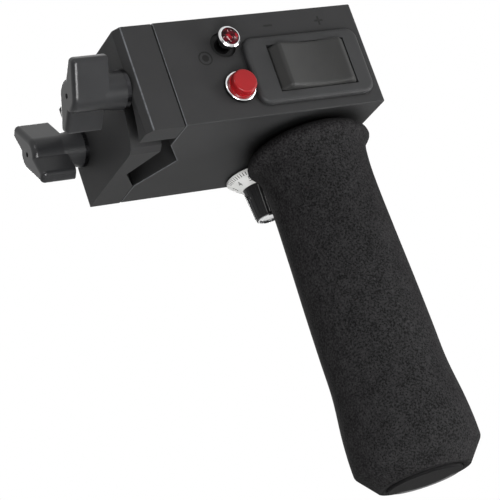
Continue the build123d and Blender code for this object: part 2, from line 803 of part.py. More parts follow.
with BuildPart() as boss_pins:
    for side in (-1, 1):
        with BuildSketch(Plane.YZ.offset(grip_x + side * (tube_radius - pin_bar_length))):
            with Locations((grip_y, tube_top_z - pin_drop)):
                Circle(pin_bar_radius)
        extrude(amount=side * (pin_bar_length - running_gap))
boss_pins.part.label = "boss_pins"
export_step(boss_pins.part, "parts/boss_pins.step")

with BuildPart(facing_down(grip_x, grip_y, tube_top_z)) as grip_tube:
    round_step(tube_radius, tube_length)
    round_step(tube_bore_radius, tube_length, mode=Mode.SUBTRACT)
    with BuildSketch(Plane.YZ.offset(grip_x)):
        with Locations((grip_y, tube_top_z - pin_drop)):
            Circle(pin_bar_radius + running_gap)
    extrude(amount=tube_radius, both=True, mode=Mode.SUBTRACT)
grip_tube.part.label = "grip_tube"
export_step(grip_tube.part, "parts/grip_tube.step")

with BuildPart(facing_down(grip_x, grip_y, inner_bottom_z)) as grip_bolt:
    round_step(grip_bolt_radius, wall + grip_bolt_length - running_gap)
    with Locations((0, 0, -grip_bolt_head)):
        Cylinder(grip_bolt_head_radius, grip_bolt_head, align=rise)
    with BuildSketch(Plane.XY.offset(inner_bottom_z + grip_bolt_head)):
        with Locations((grip_x, grip_y)):
            RegularPolygon(bolt_socket_radius, 6, major_radius=False)
    extrude(amount=-bolt_socket_depth, mode=Mode.SUBTRACT)
grip_bolt.part.label = "grip_bolt"
export_step(grip_bolt.part, "parts/grip_bolt.step")

# Foam sleeve: a domed collar, a narrow neck, a swelling palm and a bevelled lower end. Its
# collar is dented where the dial's skirt turns beside it.
grip_section = Plane(origin=(grip_x, grip_y, bottom_z), x_dir=(1, 0, 0), z_dir=(0, 1, 0))
foam_bore = tube_radius + soft_gap
foam_seat_drop = boss_flange + tube_length - soft_gap

with BuildPart() as foam_sleeve:
    with BuildSketch(grip_section):
        with BuildLine():
            collar = EllipticalCenterArc(
                (foam_top_radius, foam_collar_drop + foam_top_gap),
                foam_collar_radius - foam_top_radius,
                foam_collar_drop,
                start_angle=-quarter_turn,
                arc_size=quarter_turn,
            )
            palm = Spline([collar @ 1] + [(radius, drop) for drop, radius in foam_points])
            Polyline(
                palm @ 1,
                (foam_end_radius, foam_end_drop + foam_top_gap),
                (end_flange_radius + soft_gap, foam_end_drop + foam_top_gap),
                (end_flange_radius + soft_gap, foam_seat_drop),
                (foam_bore, foam_seat_drop),
                (foam_bore, foam_top_gap),
                collar @ 0,
            )
        make_face()
    revolve(axis=Axis((grip_x, grip_y, 0), (0, 0, 1)))
    for relief_radius, relief_end in ((skirt_rim_radius, dial_seat_z), (dial_root_radius, dial_end_z)):
        with BuildSketch(facing_down(dial_x, dial_y, bottom_z)):
            Circle(relief_radius + dial_relief)
        extrude(amount=bottom_z - relief_end + dial_relief, mode=Mode.SUBTRACT)
foam_sleeve.part.label = "foam_sleeve"
export_step(foam_sleeve.part, "parts/foam_sleeve.step")

with BuildPart(facing_down(grip_x, grip_y, tube_end_z)) as end_cap:
    with Locations((0, 0, -end_plug_length)):
        Cylinder(tube_bore_radius - running_gap, end_plug_length, align=rise)
    round_step(end_flange_radius, end_flange)
    fillet(end_cap.faces().sort_by(Axis.Z)[0].edges(), end_flange_round)
end_cap.part.label = "end_cap"
export_step(end_cap.part, "parts/end_cap.step")

# Rear cover in its pocket, with countersunk screws into the corner posts
with BuildPart() as rear_cover:
    with BuildSketch(facing_back(bay_centre_x, cover_inner_y, 0)):
        Rectangle(
            bay_length + 2 * cover_ledge - 2 * seat_gap,
            bay_height + 2 * cover_ledge - 2 * seat_gap,
        )
    extrude(amount=cover_thickness)
    with Locations(*[facing_back(x, back_y, z) for x, z in post_centres]):
        CounterSinkHole(
            cover_screw_radius + running_gap,
            cover_screw_head_radius + running_gap,
            depth=cover_thickness,
            counter_sink_angle=quarter_turn,
        )
    with BuildSketch(facing_back(socket_x, cover_inner_y, socket_z)):
        Circle(socket_thread_radius + running_gap)
    extrude(amount=cover_thickness, mode=Mode.SUBTRACT)
rear_cover.part.label = "rear_cover"
export_step(rear_cover.part, "parts/rear_cover.step")

screw_cone = cover_screw_head_radius - cover_screw_radius
with BuildPart() as cover_screws:
    for x, z in post_centres:
        with BuildSketch(Plane(origin=(x, back_y, z), x_dir=(1, 0, 0), z_dir=(0, 0, 1))):
            with BuildLine():
                Polyline(
                    (0, 0),
                    (cover_screw_head_radius, 0),
                    (cover_screw_radius, -screw_cone),
                    (cover_screw_radius, -cover_screw_length),
                    (0, -cover_screw_length),
                    close=True,
                )
            make_face()
        revolve(axis=Axis((x, back_y, z), (0, 1, 0)))
        with BuildSketch(facing_front(x, back_y, z)):
            RegularPolygon(screw_recess_radius, 6)
        extrude(amount=screw_recess_depth, mode=Mode.SUBTRACT)
cover_screws.part.label = "cover_screws"
export_step(cover_screws.part, "parts/cover_screws.step")

# Circuit board on four standoffs that are riveted to the rear cover
board_back_y = cover_inner_y - standoff_length
board_front_y = board_back_y - board_thickness
standoff_places_x = (board_left + standoff_inset, board_right - standoff_inset)
standoff_places_z = (board_bottom + standoff_rise, board_top - standoff_rise)
standoff_centres = [(x, z) for x in standoff_places_x for z in standoff_places_z]
standoff_bore = board_screw_radius + running_gap

with BuildPart() as board_standoffs:
    with BuildSketch(facing_back(0, board_back_y, 0)):
        for x, z in standoff_centres:
            with Locations((-x, z)):
                Circle(standoff_radius)
                Circle(standoff_bore, mode=Mode.SUBTRACT)
    extrude(amount=standoff_length)
board_standoffs.part.label = "board_standoffs"
export_step(board_standoffs.part, "parts/board_standoffs.step")

board_centre_x = (board_left + board_right) / 2
board_centre_z = (board_bottom + board_top) / 2
with BuildPart() as circuit_board:
    with BuildSketch(facing_back(board_centre_x, board_front_y, board_centre_z)):
        RectangleRounded(board_right - board_left, board_top - board_bottom, edge_round)
    extrude(amount=board_thickness)
    with BuildSketch(facing_back(0, board_front_y, 0)):
        for x, z in standoff_centres:
            with Locations((-x, z)):
                Circle(standoff_bore)
    extrude(amount=board_thickness, mode=Mode.SUBTRACT)
circuit_board.part.label = "circuit_board"
export_step(circuit_board.part, "parts/circuit_board.step")

with BuildPart() as board_screws:
    for x, z in standoff_centres:
        with BuildSketch(facing_back(x, board_front_y, z)):
            Circle(board_screw_radius)
        extrude(amount=board_screw_length)
        with BuildSketch(facing_front(x, board_front_y, z)):
            Circle(board_screw_head_radius)
        extrude(amount=board_screw_head)
board_screws.part.label = "board_screws"
export_step(board_screws.part, "parts/board_screws.step")

# Cable socket through the rear cover, held by a nut outside
with BuildPart(facing_back(socket_x, cover_inner_y - socket_body_length, socket_z)) as cable_socket:
    round_step(socket_body_radius, socket_body_length)
    socket_mouth = socket_body_length + socket_thread_length
    round_step(socket_thread_radius, socket_mouth)
    bore_floor = socket_mouth - socket_bore_length
    round_step(socket_bore_radius, socket_bore_length, start=bore_floor, mode=Mode.SUBTRACT)
cable_socket.part.label = "cable_socket"
export_step(cable_socket.part, "parts/cable_socket.step")

hex_nut(
    facing_back(socket_x, back_y, socket_z),
    socket_nut_flats,
    socket_nut_thickness,
    socket_thread_radius + running_gap,
    "socket_nut",
)
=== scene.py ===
import bpy
import bmesh
import json
import math
from mathutils import Matrix, Vector


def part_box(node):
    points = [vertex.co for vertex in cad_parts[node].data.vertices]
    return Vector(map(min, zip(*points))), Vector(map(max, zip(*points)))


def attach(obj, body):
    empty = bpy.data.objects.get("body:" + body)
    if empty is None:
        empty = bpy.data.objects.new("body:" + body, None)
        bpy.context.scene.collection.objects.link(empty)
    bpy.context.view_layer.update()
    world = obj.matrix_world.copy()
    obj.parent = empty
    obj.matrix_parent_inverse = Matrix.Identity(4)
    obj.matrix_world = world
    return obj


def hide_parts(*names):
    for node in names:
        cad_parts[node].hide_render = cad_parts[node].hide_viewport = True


# A handgrip lens controller: a black box with a zoom rocker, a record button and a signal lamp on
# its control face, a speed dial and a foam grip under it, and a vee jaw with two wing screws at
# its left end. Metres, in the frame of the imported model: +X along the control face away from the
# jaw, +Y from the control face to the rear cover, +Z up. A size that is multiplied by mm where it
# is used is written in millimetres.

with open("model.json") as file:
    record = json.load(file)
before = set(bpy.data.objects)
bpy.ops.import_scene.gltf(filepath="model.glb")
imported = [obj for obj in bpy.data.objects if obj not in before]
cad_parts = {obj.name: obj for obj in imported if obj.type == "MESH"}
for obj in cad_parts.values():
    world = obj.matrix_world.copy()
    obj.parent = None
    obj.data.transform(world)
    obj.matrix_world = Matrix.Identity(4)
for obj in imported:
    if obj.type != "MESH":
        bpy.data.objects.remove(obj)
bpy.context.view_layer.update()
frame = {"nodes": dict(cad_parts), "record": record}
nodes = frame["nodes"]
mm = 0.001
merge_distance = 1e-7

# Camera and lamps
camera_place = (-0.29961, -0.56324, -0.25645)
camera_turn = (108.1166, 18.0961, -24.2804)
camera_lens = 144.0
camera_sensor = 36.0
camera_reach = 20.0
lamp_target = (0.03, 0.0, -0.03)
lamps = (
    ("key_lamp", (1.25, -1.05, 0.15), 0.5, 8.0),
    ("low_lamp", (-0.10, -0.27, -0.31), 0.25, 4.2),
    ("side_lamp", (0.30, -0.12, -0.17), 0.15, 0.9),
    ("streak_lamp", (-0.50, -0.78, 0.40), 0.16, 1.3),
    ("rear_lamp", (0.35, 1.2, 0.55), 0.6, 11.0),
)
room_strength = 0.36
room_grey = (0.80, 0.81, 0.82)
floor_drop = 0.30
floor_span = 3.0
floor_greys = ((0.80, 0.80, 0.79), (0.84, 0.84, 0.83))

# Linear colours
housing_grey = (0.0205, 0.0205, 0.021)
# Painted highlight on the rounded corner where the jaw's end meets the control face
streak_highlight_grey = (0.115, 0.119, 0.128)
knob_grey = (0.0150, 0.0152, 0.0162)
bezel_grey = (0.0215, 0.0217, 0.0224)
rocker_grey = (0.0215, 0.0215, 0.0211)
inner_grey = (0.05, 0.05, 0.052)
foam_dark = (0.0052, 0.0050, 0.0053)
foam_light = (0.0235, 0.0229, 0.0233)
rubber_black = (0.0062, 0.0060, 0.0063)
# Painted highlight on the far rim of the grip's end
rim_highlight_grey = (0.13, 0.13, 0.13)
cap_red = (0.215, 0.006, 0.008)
lens_red = (0.050, 0.001, 0.004)
# Painted lit patches and glints on the lamp's lens
lens_painted_lit = (0.20, 0.003, 0.008)
lens_painted_glint = (0.9, 0.55, 0.56)
steel_grey = (0.56, 0.56, 0.57)
blacked_grey = (0.045, 0.045, 0.048)
chrome_grey = (0.86, 0.86, 0.87)
brass_yellow = (0.62, 0.44, 0.16)
mask_green = (0.012, 0.09, 0.035)
run_green = (0.03, 0.20, 0.08)
skirt_grey = (0.60, 0.60, 0.59)
dial_grey = (0.010, 0.010, 0.0105)
ink_black = (0.006, 0.006, 0.006)
scale_grey = (0.03, 0.03, 0.03)
# Painted glints along the dial's body
glint_grey = (0.16, 0.16, 0.16)


def middle(name):
    low, high = (Vector(corner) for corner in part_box(name))
    return (low + high) / 2


def low_corner(name):
    return Vector(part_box(name)[0])


def high_corner(name):
    return Vector(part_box(name)[1])


class Shade:
    """One socket of a material's nodes, on which arithmetic adds Math nodes."""

    def __init__(self, tree, socket=None):
        self.tree = tree
        self.socket = socket

    def node(self, kind, settings=None, sockets=None, output=0):
        """Any node: its settings first, then the values or links of its sockets."""
        made = self.tree.nodes.new(kind)
        for name, value in (settings or {}).items():
            setattr(made, name, value)
        for key, value in (sockets or {}).items():
            if isinstance(value, Shade):
                self.tree.links.new(value.socket, made.inputs[key])
            else:
                made.inputs[key].default_value = value
        return Shade(self.tree, made.outputs[output])

    def maths(self, operation, *others):
        values = dict(enumerate((self, *others)))
        return self.node("ShaderNodeMath", {"operation": operation}, values)

    def reflected(self, operation, other):
        return self.node("ShaderNodeMath", {"operation": operation}, {0: other, 1: self})

    def __add__(self, other):
        return self.maths("ADD", other)

    def __radd__(self, other):
        return self.reflected("ADD", other)

    def __sub__(self, other):
        return self.maths("SUBTRACT", other)

    def __rsub__(self, other):
        return self.reflected("SUBTRACT", other)

    def __mul__(self, other):
        return self.maths("MULTIPLY", other)

    def __rmul__(self, other):
        return self.reflected("MULTIPLY", other)

    def __pow__(self, other):
        return self.maths("POWER", other)

    def part(self, axis):
        """The X, Y or Z of a vector."""
        return self.node("ShaderNodeSeparateXYZ", None, {"Vector": self}, axis)

    def within(self, low, high):
        """Rises from 0 at low to 1 at high, and stays between them outside."""
        sockets = {"Value": self, "From Min": low, "From Max": high}
        return self.node("ShaderNodeMapRange", {"clamp": True}, sockets)

    def mixed(self, first, second):
        """Colour between two others, by this value."""
        ends = [end if isinstance(end, Shade) else (*end, 1) for end in (first, second)]
        sockets = {0: self, 6: ends[0], 7: ends[1]}
        return self.node("ShaderNodeMix", {"data_type": "RGBA"}, sockets, 2)

    def noise(self, places, scale, detail=3.0, roughness=0.55):
        sockets = {"Vector": places, "Scale": scale, "Detail": detail, "Roughness": roughness}
        return self.node("ShaderNodeTexNoise", None, sockets)

    def cells(self, places, scale, feature="F1"):
        sockets = {"Vector": places, "Scale": scale}
        return self.node("ShaderNodeTexVoronoi", {"feature": feature}, sockets)

    def normal(self):
        """The way a surface faces, in its object's own directions."""
        return self.node("ShaderNodeTexCoord", output="Normal")


def new_material(name, metallic=0.0, specular=0.5, coat=0.0):
    """Material with one Principled shader, whose constants are set on its own sockets."""
    material = bpy.data.materials.new(name)
    material.use_nodes = True
    shader = material.node_tree.nodes["Principled BSDF"]
    shader.inputs["Metallic"].default_value = metallic
    shader.inputs["Specular IOR Level"].default_value = specular
    shader.inputs["Coat Weight"].default_value = coat
    shader.inputs["Coat Roughness"].default_value = 0.08
    paint = Shade(material.node_tree)
    places = paint.node("ShaderNodeTexCoord", output="Object")
    return material, shader, paint, places


def finish_material(material, shader, colour, roughness, height=None, depth=0.0):
    """Link the varying colour, roughness and surface height of a material."""
    links = material.node_tree.links
    links.new(colour.socket, shader.inputs["Base Color"])
    links.new(roughness.socket, shader.inputs["Roughness"])
    if height is not None:
        sockets = {"Strength": 1.0, "Distance": depth, "Height": height}
        bump = height.node("ShaderNodeBump", None, sockets)
        links.new(bump.socket, shader.inputs["Normal"])
    return material


def lighter(colour, factor):
    """A colour times a factor, which darkens it where it is under 1."""
    return tuple(min(1.0, part * factor) for part in colour)


def worn_edges(paint, radius):
    """1 on the sharp edges of a piece and 0 on its faces."""
    rounded = paint.node("ShaderNodeBevel", {"samples": 4}, {"Radius": radius})
    plain = paint.node("ShaderNodeNewGeometry", output="Normal")
    settings = {"operation": "DOT_PRODUCT"}
    likeness = paint.node("ShaderNodeVectorMath", settings, {0: rounded, 1: plain}, "Value")
    return (1.0 - likeness).within(0.01, 0.12)


def grime(paint, reach):
    """Mask for painted shade: 1 on open faces, falling towards 0 deep in gaps and corners."""
    openness = paint.node("ShaderNodeAmbientOcclusion", {"samples": 8}, {"Distance": reach}, "AO")
    return openness.within(0.35, 0.85)


def anodised(name, colour):
    """Blasted and anodised aluminium: matt grain, faint clouding, rubbed paler edges, painted shade
    in gaps, and a painted highlight on the rounded corner by the jaw.
    """
    material, shader, paint, places = new_material(name, specular=0.14)
    cloud = paint.noise(places, scale=90.0)
    grain = paint.cells(places, scale=5200.0)
    fine = paint.noise(places, scale=3400.0, detail=2.0)
    patches = paint.noise(places, scale=900.0, detail=2.0).within(0.35, 0.75)
    edge = worn_edges(paint, 0.35 * mm) * patches * 0.12
    clouding = (cloud * 0.6 + fine * 0.4).within(0.3, 0.7)
    body = clouding.mixed(lighter(colour, 0.90), lighter(colour, 1.12))
    # Painted shade: the colour is darkened deep in gaps and corners
    body = grime(paint, 14 * mm).mixed(lighter(colour, 0.12), body)
    # Painted highlight: where the surface turns from the jaw's end to the control face it is painted
    # pale in patches
    lean = paint.normal().part("X")
    rounding = lean.within(-0.70, -0.48) * (1.0 - lean.within(-0.40, -0.14))
    body = (rounding * patches.within(-0.6, 0.4)).mixed(body, streak_highlight_grey)
    body = edge.mixed(body, lighter(colour, 3.2))
    roughness = 0.50 + cloud * 0.12 + fine * 0.06 - edge * 0.15
    return finish_material(material, shader, body, roughness, grain + fine, 0.012 * mm)


def moulded(name, colour, roughness, grain_scale, depth, wear_and_highlight=0.12, coat=0.0, specular=0.18):
    """Moulded plastic with a spark-eroded grain, and edges painted paler as wear and as a painted
    edge highlight.
    """
    material, shader, paint, places = new_material(name, specular=specular, coat=coat)
    cloud = paint.noise(places, scale=120.0, detail=2.0)
    grain = paint.cells(places, grain_scale, "SMOOTH_F1")
    edge_patches = paint.noise(places, scale=600.0, detail=4.0).within(0.42, 0.72)
    edge = worn_edges(paint, 0.3 * mm) * edge_patches * wear_and_highlight
    body = cloud.within(0.3, 0.7).mixed(lighter(colour, 0.92), lighter(colour, 1.08))
    # Edges painted paler in patches: wear, and where the share is large, as on the red button, a
    # painted rim highlight
    body = edge.mixed(body, lighter(colour, 2.4))
    shine = roughness + cloud * 0.10 - 0.05 - edge * 0.12
    return finish_material(material, shader, body, shine, grain, depth * mm)


# Painted highlight along the far rim of the grip's end: its direction, and where it fades in from
# the rim and that way along
rim_highlight_way = (0.54, 0.84)
rim_highlight_band = (3.6, 2.6)
rim_highlight_fade = (4.0, 8.0)


def end_rubber(name, colour, highlight_colour):
    """Dark rubber of the grip's end, with a painted highlight along its rear rim."""
    material, shader, paint, places = new_material(name, specular=0.05)
    centre = middle("end_cap")
    rim = high_corner("end_cap").x - centre.x
    across = places.part("X") - centre.x
    along = places.part("Y") - centre.y
    reach = (across * across + along * along) ** 0.5
    crumbs = paint.noise(places, scale=1500.0)
    rearward = across * rim_highlight_way[0] + along * rim_highlight_way[1]
    rim_highlight = (
        reach.within(rim - rim_highlight_band[0] * mm, rim - rim_highlight_band[1] * mm)
        * rearward.within(rim_highlight_fade[0] * mm, rim_highlight_fade[1] * mm) * crumbs.within(0.2, 0.4)
    )
    body = crumbs.within(0.3, 0.7).mixed(lighter(colour, 0.85), lighter(colour, 1.2))
    body = rim_highlight.mixed(body, highlight_colour)
    return finish_material(material, shader, body, 0.66 + crumbs * 0.1, crumbs, 0.03 * mm)


def plated(name, colour, roughness, brush, painted_side_shade=1.0):
    """Plated or turned metal: fine scratches, faint staining, and, where asked, sides darkened as a
    painted dark reflection.
    """
    material, shader, paint, places = new_material(name, metallic=1.0)
    stain = paint.noise(places, scale=260.0)
    drawn_out = paint.node("ShaderNodeMapping", None, {"Vector": places, "Scale": (1, 1, 9)})
    scratch = paint.noise(drawn_out, scale=1400.0, detail=2.0, roughness=0.5)
    body = stain.within(0.25, 0.8).mixed(colour, lighter(colour, 0.82))
    if painted_side_shade < 1:
        # Painted dark reflection: faces turned away from the front are darkened
        frontward = paint.normal().part("Y") * -1.0
        body = frontward.within(0.35, 0.85).mixed(lighter(colour, painted_side_shade), body)
    shine = roughness + stain * 0.06 + scratch * brush
    return finish_material(material, shader, body, shine, scratch, 0.004 * mm)


def coil_wire(name, colour, pitch):
    """Spring steel drawn as turns of round wire around the Y axis, with painted shade between the
    turns.
    """
    material, shader, paint, places = new_material(name, metallic=1.0)
    turn = (places.part("Y") * (2 * math.pi / pitch)).maths("SINE")
    # Painted shade: the colour is darkened between the turns
    body = turn.within(-0.7, 0.4).mixed(lighter(colour, 0.05), colour)
    shine = 0.28 + (1.0 - turn.within(-1, 1)) * 0.3
    return finish_material(material, shader, body, shine, turn, 0.25 * mm)


def foam_rubber(name):
    """Closed-cell foam with a cut skin: fine cells, small pits and mottled wear."""
    material, shader, paint, places = new_material(name, specular=0.04)
    cell = paint.cells(places, 1500.0, "SMOOTH_F1")
    pits = paint.cells(places, scale=620.0).within(0.05, 0.34)
    crumbs = paint.noise(places, scale=1500.0, detail=4.0, roughness=0.7)
    mottle = paint.noise(places, scale=190.0, detail=5.0, roughness=0.65)
    speck = paint.noise(places, scale=1300.0, detail=2.0).within(0.56, 0.72)
    tone = (mottle * 0.2 + crumbs * 0.8).within(0.42, 0.60)
    body = tone.mixed(foam_dark, foam_light)
    body = (speck * 0.3).mixed(body, lighter(foam_light, 1.9))
    height = pits * 0.8 + cell * 0.5 + crumbs * 0.9 + mottle * 0.8
    return finish_material(material, shader, body, 0.86 + tone * 0.12, height, 0.16 * mm)


def jewel(name):
    """Dark clear red plastic, with light and shade painted on its facets in patches, lit patches and
    small glints.
    """
    material, shader, paint, places = new_material(name, specular=0.12)
    patch = paint.cells(places, scale=620.0)
    painted_lit_patch = paint.noise(places, scale=420.0, detail=1.0).within(0.56, 0.62)
    painted_glint = paint.noise(places, scale=900.0, detail=2.0).within(0.62, 0.66)
    # Painted light and shade: facets lighter and darker by cell, then painted lit patches and glints
    body = patch.within(0.15, 0.75).mixed(lighter(lens_red, 1.6), lighter(lens_red, 0.15))
    body = painted_lit_patch.mixed(body, lens_painted_lit)
    body = (painted_glint * 0.4).mixed(body, lens_painted_glint)
    return finish_material(material, shader, body, 0.10 + patch * 0.1, patch, 0.08 * mm)


def solder_mask(name):
    """Green board laminate with faint copper runs under the mask."""
    material, shader, paint, places = new_material(name, coat=0.4)
    runs = paint.node("ShaderNodeTexBrick", None, {
        "Vector": places, "Scale": 260.0, "Mortar Size": 0.05,
        "Color1": (0, 0, 0, 1), "Color2": (0, 0, 0, 1), "Mortar": (1, 1, 1, 1),
    })
    body = runs.mixed(mask_green, run_green)
    return finish_material(material, shader, body, 0.32 + runs * 0.1, runs, 0.02 * mm)


materials = {
    "housing_black": anodised("blasted_black_anodising", housing_grey),
    "knob_black": moulded("black_nylon", knob_grey, 0.30, 2400.0, 0.006, specular=0.30),
    "bright_steel": plated("plated_steel", steel_grey, 0.24, 0.12),
    "spring_steel": coil_wire("spring_wire", steel_grey, pitch=1.1 * mm),
    "bezel_plastic": moulded("bezel_plastic", bezel_grey, 0.46, 3000.0, 0.014),
    "rocker_plastic": moulded("rocker_plastic", rocker_grey, 0.50, 2600.0, 0.018),
    "inner_plastic": moulded("inner_plastic", inner_grey, 0.5, 2000.0, 0.02, wear_and_highlight=0.1),
    # Chrome whose sides are darkened as a painted dark reflection
    "bright_chrome": plated("polished_chrome", chrome_grey, 0.08, 0.04, painted_side_shade=0.18),
    # Red button: its rim painted pale as a painted highlight
    "red_plastic": moulded("red_plastic", cap_red, 0.34, 2600.0, 0.008, wear_and_highlight=0.7, coat=0.1),
    "red_lens": jewel("red_jewel"),
    "pot_metal": plated("turned_pot_metal", lighter(steel_grey, 0.9), 0.34, 0.15),
    "skirt_plastic": moulded("skirt_satin", skirt_grey, 0.36, 1800.0, 0.006, wear_and_highlight=0.05),
    "dial_plastic": moulded("dial_plastic", dial_grey, 0.30, 2600.0, 0.006, wear_and_highlight=0.1),
    "bright_aluminium": plated("spun_disc", chrome_grey, 0.16, 0.12),
    "grip_metal": plated("turned_tube", lighter(steel_grey, 0.8), 0.36, 0.15),
    "foam": foam_rubber("grip_foam"),
    "end_cap_plastic": end_rubber("end_cap_rubber", rubber_black, rim_highlight_grey),
    "screw_black": plated("blacked_steel", blacked_grey, 0.20, 0.1),
    "standoff_brass": plated("turned_brass", brass_yellow, 0.25, 0.15),
    "board_green": solder_mask("solder_mask"),
}
ink = moulded("engraved_black", ink_black, 0.55, 1800.0, 0.02, wear_and_highlight=0.0)
scale_ink = moulded("scale_ink", scale_grey, 0.5, 1800.0, 0.004, wear_and_highlight=0.0)
painted_glint_pale = moulded("painted_glint_pale", glint_grey, 0.4, 1800.0, 0.004, wear_and_highlight=0.0)

for entry in frame["record"]["subparts"]:
    mesh = nodes[entry["node"]].data
    mesh.materials.clear()
    mesh.materials.append(materials[entry["material_slot"]])


def keep(name, mesh, material, body):
    """Put a finished mesh on a new object, riding on a body and finished with the given material."""
    piece = bpy.data.objects.new(name, mesh)
    bpy.context.scene.collection.objects.link(piece)
    mesh.materials.clear()
    mesh.materials.append(material)
    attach(piece, body)
    return piece


def mesh_of(shape, name, smooth=True):
    """Mesh from a bmesh, its doubles merged and its faces pointing outwards."""
    bmesh.ops.remove_doubles(shape, verts=shape.verts, dist=merge_distance)
    bmesh.ops.recalc_face_normals(shape, faces=shape.faces)
    mesh = bpy.data.meshes.new(name)
    shape.to_mesh(mesh)
    shape.free()
    for face in mesh.polygons:
        face.use_smooth = smooth
    return mesh


def mesh_from(holder, name):
    """Plain mesh of an object after its modifiers, or of a text; the object stays."""
    bpy.context.view_layer.update()
    graph = bpy.context.evaluated_depsgraph_get()
    mesh = bpy.data.meshes.new_from_object(holder.evaluated_get(graph))
    mesh.name = name
    return mesh


def on_circle(radius, number, count):
    """Point at a number of steps round a circle that count steps go once round."""
    angle = 2 * math.pi * number / count
    return radius * math.cos(angle), radius * math.sin(angle)


def join_rings(shape, rings):
    """Four-cornered faces between each ring of vertices and the next."""
    for upper, lower in zip(rings, rings[1:]):
        for here in range(len(upper)):
            after = (here + 1) % len(upper)
            shape.faces.new((upper[here], upper[after], lower[after], lower[here]))


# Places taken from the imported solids
bottom_z = low_corner("housing").z
front_y = low_corner("housing").y
grip_axis = middle("grip_tube")
dial_axis = middle("dial_skirt")
skirt_radius = (high_corner("dial_skirt").x - low_corner("dial_skirt").x) / 2
skirt_drop = bottom_z - low_corner("dial_skirt").z
body_radius = (high_corner("dial_body").x - low_corner("dial_body").x) / 2
dial_drop = bottom_z - low_corner("dial_cap").z
dial_offset = ((dial_axis.x - grip_axis.x) / mm, (dial_axis.y - grip_axis.y) / mm)

# Foam grip: its outline in pairs of drop below the housing and radius
foam_outline = (
    (6.0, 22.4), (8.7, 20.2), (13.2, 19.3), (22.2, 18.9), (41.6, 19.3), (61.2, 19.9),
    (77.6, 20.25), (91.2, 20.5), (105.2, 21.9), (112.6, 22.35), (118.4, 22.4),
    (119.5, 22.3), (120.3, 21.9),
)
foam_rounds = 288
foam_step = 0.5
collar_steps = 24
bevel_steps = 20
foam_top_gap = 0.4
foam_top_radius = 13.5
foam_bore_radius = 11.4
foam_bore_depth = 1.0
foam_end_radius = 16.4
foam_end_drop = 127.0
foam_end_bore = 13.6
foam_end_depth = 2.5

# Hollow that the dial presses into the foam, which narrows past the skirt and closes past the dial
dial_clearance = 0.6
press_softness = 0.5
skin_margin = 1.0
skirt_margin = 0.2
skirt_blend = 2.6
dial_margin = 0.6
dial_blend = 3.0
hollow_close = 8.0


def outline_radius(drop):
    """Radius of the foam at a drop, on a smooth curve through its outline."""
    drops = [pair[0] for pair in foam_outline]
    radii = [pair[1] for pair in foam_outline]
    last = len(drops) - 1
    first = max(0, min(last - 1, sum(place <= drop for place in drops) - 1))
    slopes = []
    for point in (first, first + 1):
        before, after = max(0, point - 1), min(last, point + 1)
        slopes.append((radii[after] - radii[before]) / (drops[after] - drops[before]))
    if first == 0:
        slopes[0] = 0.0
    span = drops[first + 1] - drops[first]
    share = (drop - drops[first]) / span
    square, cube = share ** 2, share ** 3
    return (
        (2 * cube - 3 * square + 1) * radii[first] + (cube - 2 * square + share) * span * slopes[0]
        + (3 * square - 2 * cube) * radii[first + 1] + (cube - square) * span * slopes[1]
    )


def foam_profile():
    """Outline of the foam, from its top bore over the skin to its lower bore."""
    collar_drop, collar_radius = foam_outline[0]
    skin_drop, skin_radius = foam_outline[-1]
    points = [(foam_bore_radius, foam_top_gap + foam_bore_depth), (foam_bore_radius, foam_top_gap)]
    for step in range(collar_steps + 1):
        angle = math.pi / 2 * step / collar_steps
        points.append((
            foam_top_radius + (collar_radius - foam_top_radius) * math.sin(angle),
            foam_top_gap + (collar_drop - foam_top_gap) * (1 - math.cos(angle)),
        ))
    drop = collar_drop + foam_step
    while drop < skin_drop:
        points.append((outline_radius(drop), drop))
        drop += foam_step
    for step in range(bevel_steps + 1):
        share = step / bevel_steps
        points.append((
            skin_radius + (foam_end_radius - skin_radius) * share,
            skin_drop + (foam_end_drop - skin_drop) * share,
        ))
    return points + [(foam_end_bore, foam_end_drop), (foam_end_bore, foam_end_drop - foam_end_depth)]


def ramp(value, start, length):
    """0 up to start, 1 from start plus length on, and straight between them."""
    return min(1.0, max(0.0, (value - start) / length))


def dial_limit(direction, drop):
    """Radius at which foam in a direction from the grip's axis meets the dial's hollow."""
    narrowing = ramp(drop, skirt_drop / mm + skirt_margin, skirt_blend)
    hollow = (skirt_radius + (body_radius - skirt_radius) * narrowing) / mm + dial_clearance
    hollow -= hollow_close * ramp(drop, dial_drop / mm + dial_margin, dial_blend)
    along = dial_offset[0] * direction[0] + dial_offset[1] * direction[1]
    across = abs(dial_offset[0] * direction[1] - dial_offset[1] * direction[0])
    if across >= hollow or along <= 0 or hollow <= 0:
        return None
    return along - math.sqrt(hollow ** 2 - across ** 2)


def foam_grip():
    """Revolved foam skin, pressed in beside the dial."""
    shape = bmesh.new()
    rings = []
    for radius, drop in foam_profile():
        ring = []
        for number in range(foam_rounds):
            direction = on_circle(1.0, number, foam_rounds)
            reach = radius
            limit = dial_limit(direction, drop)
            if radius > foam_bore_radius + skin_margin and limit is not None:
                gap = radius - limit
                reach = limit + (gap - math.sqrt(gap ** 2 + press_softness ** 2)) / 2
            ring.append(shape.verts.new((
                grip_axis.x + reach * mm * direction[0],
                grip_axis.y + reach * mm * direction[1],
                bottom_z - drop * mm,
            )))
        rings.append(ring)
    join_rings(shape, rings)
    mesh = mesh_of(shape, "foam_grip")
    piece = keep("foam_grip", mesh, materials["foam"], "root")
    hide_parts("foam_sleeve")


# Lamp lens: each row's share of the radius, share of the height, and turn in half facets
lens_facets = 10
lens_rows = ((1.0, 0.0, 0), (1.0, 0.72, 0), (0.80, 0.90, 1), (0.42, 1.0, 0))


